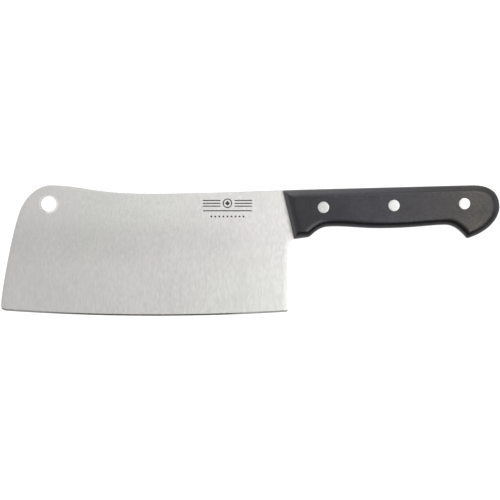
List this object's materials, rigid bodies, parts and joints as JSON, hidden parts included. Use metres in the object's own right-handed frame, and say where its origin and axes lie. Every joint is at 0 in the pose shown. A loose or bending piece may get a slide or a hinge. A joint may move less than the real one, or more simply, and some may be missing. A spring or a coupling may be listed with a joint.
{
  "type": "meat cleaver",
  "caption": "Meat cleaver with a deep, nearly rectangular blade, a hanging hole at the nose and riveted plastic scales on a full tang.",
  "frame": {"origin": "under the middle of the outline, on the plane of the right-hand scale's outer face", "axes": "+X along the handle from the blade to the butt, +Y from the cutting edge to the spine, +Z across the thickness"},
  "size_m": [0.26, 0.0682, 0.016],
  "materials": {
    "blade_steel": "satin, ground across the blade from spine to edge",
    "scale_plastic": "satin black moulded plastic",
    "rivet_steel": "polished flush with the scales"
  },
  "bodies": {
    "root": {"blade": "blade_steel", "scale_left": "scale_plastic", "scale_right": "scale_plastic", "rivet_front_pin": "rivet_steel", "rivet_front_sleeve": "rivet_steel", "rivet_middle_pin": "rivet_steel", "rivet_middle_sleeve": "rivet_steel", "rivet_rear_pin": "rivet_steel", "rivet_rear_sleeve": "rivet_steel"}
  },
  "joints": []
}
